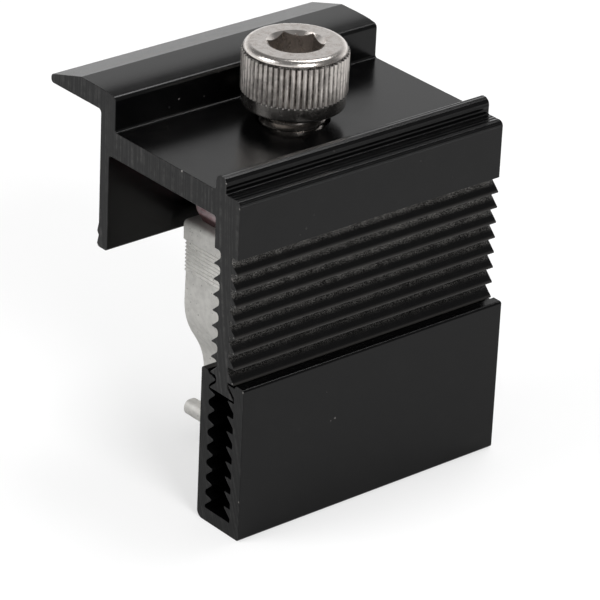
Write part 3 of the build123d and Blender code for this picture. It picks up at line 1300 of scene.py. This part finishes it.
@dataclass(frozen=True)
class Studio:
    """Floor, backdrop light, lamps and camera.

    Attributes:
        azimuth: Direction the camera looks in, in degrees, 0 along +Y and 90 along -X.
        elevation: Degrees that the camera looks down.
        roll: Degrees that the camera is rolled.
        distance: From the camera to the point it aims at, in metres.
        lens: Focal length in millimetres on a 36 mm sensor.
        aim: Point that the camera aims at, in metres.
        shift: How far that point is moved to the camera's right and up, in metres.
        horizon: Strength of the mirrored backdrop at its foot.
        fading: How much weaker it gets from its foot to the zenith.
        backdrop_top: Heights between which the backdrop ends in the dim room, as parts of a direction.
        dim_side: Direction of the side of the room without a backdrop.
        dim_spread: Closeness to that direction over which the backdrop ends.
        dim_level: Strength of the mirrored dim room.
        floor_width: Width of the floor in metres.
        floor_mirrored: Share of the floor's glow that mirrors show.
        floor_plain: Grey of the floor as a source of light.
        floor_seen: Grey of the floor that catches the shadow.
        floor_glow: Strength of the floor's glow.
        ambient: Strength of the even light.
        lamps: The soft lamps.
    """

    azimuth: float = 49.197
    elevation: float = 26.572
    roll: float = 2.644
    distance: float = 0.46594
    lens: float = 235.06
    aim: Place = (-0.0081, 0.0, 0.027)
    shift: Span = (-0.00159, -0.005356)
    horizon: float = 1.8
    fading: float = 2.3
    backdrop_top: Span = (0.50, 0.55)
    dim_side: Place = (0.91, 0.40, 0.10)
    dim_spread: Span = (0.5, 0.8)
    dim_level: float = 0.2
    floor_width: float = 4.0
    floor_mirrored: float = 0.15
    floor_plain: float = 0.45
    floor_seen: float = 0.39
    floor_glow: float = 0.5
    ambient: float = 0.55
    lamps: tuple[Softbox, ...] = (
        Softbox("left_softbox", (-0.25, -0.55, 0.55), 0.35, 2.8),
        Softbox("right_softbox", (0.62, -0.12, 0.45), 0.3, 4.2),
        Softbox("back_softbox", (-0.10, 0.35, 0.85), 0.4, 3.6),
    )

    def add_camera(self) -> None:
        """Adds the camera at the photograph's viewing angle."""
        azimuth, elevation, roll = (math.radians(v) for v in (self.azimuth, self.elevation, self.roll))
        forward = Vector((-math.sin(azimuth) * math.cos(elevation), math.cos(azimuth) * math.cos(elevation),
                          -math.sin(elevation)))
        level = Vector((math.cos(azimuth), math.sin(azimuth), 0.0))
        upright = level.cross(forward)
        right = level * math.cos(roll) + upright * math.sin(roll)
        up = upright * math.cos(roll) - level * math.sin(roll)
        middle = Vector(self.aim) + right * self.shift[0] + up * self.shift[1]
        bpy.ops.object.camera_add(location=middle - forward * self.distance)
        camera = bpy.context.active_object
        camera.name = "photo_camera"
        camera.rotation_euler = Matrix((right, up, -forward)).transposed().to_euler()
        camera.data.lens = self.lens
        camera.data.sensor_width = 36.0
        camera.data.clip_start = 0.01
        bpy.context.scene.camera = camera

    @staticmethod
    def seen_directly(graph: Graph, mirrored: float = 1.0) -> Socket:
        """Tells rays that show the background from rays that light the object.

        Args:
            graph: Node tree to work in.
            mirrored: Value for glossy and transmission rays.

        Returns:
            1 for camera rays, the given value for glossy and transmission rays, and 0 for the rest.
        """
        path = graph.add("LightPath")
        through = graph.math("MAXIMUM", path.outputs["Is Glossy Ray"], path.outputs["Is Transmission Ray"])
        return graph.math("MAXIMUM", path.outputs["Is Camera Ray"], graph.product(through, mirrored))

    def add_floor(self) -> None:
        """Adds a pale floor that keeps a faint shadow and is otherwise white."""
        bpy.ops.mesh.primitive_plane_add(size=self.floor_width)
        floor = rename("studio_floor")
        material = bpy.data.materials.new("pale_floor")
        material.use_nodes = True
        graph = Graph(material.node_tree)
        plain, catch = (graph.add("BsdfDiffuse", {"Color": (grey, grey, grey, 1.0)})
                        for grey in (self.floor_plain, self.floor_seen))
        glow = graph.add("Emission", {"Color": (1.0, 1.0, 1.0, 1.0), "Strength": self.floor_glow})
        shown = graph.add("AddShader", {0: catch.outputs[0], 1: glow.outputs[0]})
        seen = self.seen_directly(graph, self.floor_mirrored)
        both = graph.add("MixShader", {0: seen, 1: plain.outputs[0], 2: shown.outputs[0]})
        graph.add("OutputMaterial", {0: both.outputs[0]})
        floor.data.materials.append(material)

    def add_world(self) -> None:
        """Lights the scene evenly and gives reflections a white backdrop that ends at the top and on one side."""
        world = bpy.data.worlds.new("studio_world")
        bpy.context.scene.world = world
        world.use_nodes = True
        graph = Graph(world.node_tree)
        towards = graph.add("TexCoord").outputs["Generated"]
        side = graph.add("VectorMath", {0: towards, 1: self.dim_side}, operation="DOT_PRODUCT").outputs["Value"]
        height = graph.add("SeparateXYZ", {0: towards}).outputs[2]
        dim = graph.math("MAXIMUM", graph.ramp(side, *self.dim_spread), graph.ramp(height, *self.backdrop_top))
        glow = graph.math("MULTIPLY_ADD", graph.math("MAXIMUM", height, 0.0), -self.fading, self.horizon)
        kept = graph.product(glow, graph.math("SUBTRACT", 1.0, dim))
        mirrored = graph.math("MULTIPLY_ADD", dim, self.dim_level, kept)
        straight = graph.add("LightPath").outputs["Is Camera Ray"]
        strength = graph.math("MULTIPLY_ADD", graph.math("SUBTRACT", 1.0, mirrored), straight, mirrored)
        white = (1.0, 1.0, 1.0, 1.0)
        light, shown = (graph.add("Background", {"Color": white, "Strength": value})
                        for value in (self.ambient, strength))
        both = graph.add("MixShader", {0: self.seen_directly(graph), 1: light.outputs[0], 2: shown.outputs[0]})
        graph.add("OutputWorld", {0: both.outputs[0]})

    def build(self) -> None:
        """Sets up the whole studio."""
        bpy.context.scene.view_settings.view_transform = "Standard"
        self.add_world()
        self.add_floor()
        for lamp in self.lamps:
            lamp.add()
        self.add_camera()
        LOG.info("studio with %d lamps", len(self.lamps))


def round_crown(piece: Piece) -> None:
    """Lets the clamp top's crown fall away in a curve along its edge over the plate.

    Args:
        piece: The clamp top.
    """
    start, reach, fall, steps = -27.91 * MM, 6.0 * MM, 0.26 * MM, 8
    underside, steepness, flat_angle = 46.85 * MM, 5, math.radians(0.1)
    edit_all(piece)
    bpy.ops.mesh.dissolve_limited(angle_limit=flat_angle)
    close_edit()
    for step in range(1, steps):
        cut_ring(piece, (start + reach * step / steps, 0.0, 0.0), (1.0, 0.0, 0.0))
    for step in range(1, steps + 1):
        near = start + reach * (step - 0.5) / steps
        far = start + reach * (step + 0.5) / steps if step < steps else 0.0
        edit_picked(piece, Pick.VERTS, lambda v, n=near, f=far: v.z > underside and n < v.x < f)
        bpy.ops.transform.translate(value=(0.0, 0.0, -fall * (step / steps) ** steepness))
        close_edit()


def sharpen_nut(piece: Piece) -> None:
    """Takes the crests off the nut's serrations and halves the rounding of its top edges.

    Args:
        piece: The rail nut.
    """
    corner_y, corner_z, rounding = 9.4 * MM, 29.1 * MM, 1.25 * MM
    crest_y, lowest, highest, kept = 9.08 * MM, 22.2 * MM, 26.1 * MM, 0.983
    for side in (-1.0, 1.0):
        scale_picked(piece, lambda v, s=side: v.y * s > corner_y - rounding and v.z > corner_z - rounding,
                     (1.0, 0.5, 0.5), (0.0, side * corner_y, corner_z))
    scale_picked(piece, lambda v: abs(v.y) > crest_y and lowest < v.z < highest, (1.0, kept, 1.0), (0.0, 0.0, 0.0))


def make_black_parts(frame: dict, effects: SharedEffects) -> None:
    """Builds and dresses the clamp top and the height foot.

    Args:
        effects: Shared node groups.
    """
    half_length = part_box("clamp_top")[1].y
    end = -half_length / MM
    tooth_tips = tuple(Nick((1.75, end, z), 0.13, 0.55) for z in (20.0, 23.9, 25.95, 29.9, 31.9, 33.9))
    top_nicks = (Nick((-8.65, end, 43.0), 0.18), Nick((-21.3, -10.6, 45.06), 0.15, 0.4),
                 Nick((-0.6, end, 44.5), 0.14, 0.6), Nick((1.9, end, 42.3), 0.14, 0.6)) + tooth_tips
    foot_nicks = (Nick((3.75, end, 19.7), 0.16, 0.5), Nick((3.75, end, 5.3), 0.14, 0.5),
                  Nick((3.9, -5.85, 12.1), 0.15, 0.35), Nick((3.9, -6.5, 11.9), 0.1, 0.3))
    # Darker copy of the sawn-end colour for the foot: painted shade, as the foot's ends sit low by the floor.
    foot_shaded_cut = (BlackAnodised.colour, (0.017, 0.0165, 0.016, 1.0))
    top_finish = BlackAnodised(half_length, top_nicks, ToothGrainAndSheen(), DieLines())
    foot_finish = BlackAnodised(half_length, foot_nicks, cut_colour=foot_shaded_cut, gloss=1.33)
    top = EasedSolid("clamp_top", "clamp_top_profile", "clamp", "black_anodised")
    top.build(frame, top_finish.make("clamp_top_anodised", effects), round_crown)
    foot = EasedSolid("height_foot", "height_foot_profile", "foot", "black_anodised")
    foot.build(frame, foot_finish.make("height_foot_anodised", effects))


def make_nut_and_pad(frame: dict, effects: SharedEffects) -> None:
    """Builds and dresses the rail nut and the spacer pad.

    Args:
        effects: Shared node groups.
    """
    low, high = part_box("rail_nut")
    mill = MillAluminium(centre=(low.x + high.x) / 2, half_length=(high.x - low.x) / 2)
    nut = EasedSolid("rail_nut", "rail_nut_block", "nut", "mill_aluminium", CutAxis.X, 0.08 * MM)
    nut.build(frame, mill.make("nut_mill_finish", effects), sharpen_nut)
    pad = SpacerPad(*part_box("spacer_pad"))
    pad.build(SoftPlastic(pad.foot).make("pad_soft_plastic", effects))


def main() -> None:
    """Loads the frame, builds every piece and the studio."""
    logging.basicConfig(level=logging.INFO, format="%(name)s: %(message)s")
    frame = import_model()
    effects = SharedEffects()
    make_black_parts(frame, effects)
    make_nut_and_pad(frame, effects)
    screw = ThreadedScrew(*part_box("clamp_screw"))
    steel = StainlessSteel(screw.axis, screw.head_radius, screw.knurl, screw.seat)
    screw.build(steel.make("screw_stainless", effects))
    Studio().build()


if __name__ == "__main__":
    main()
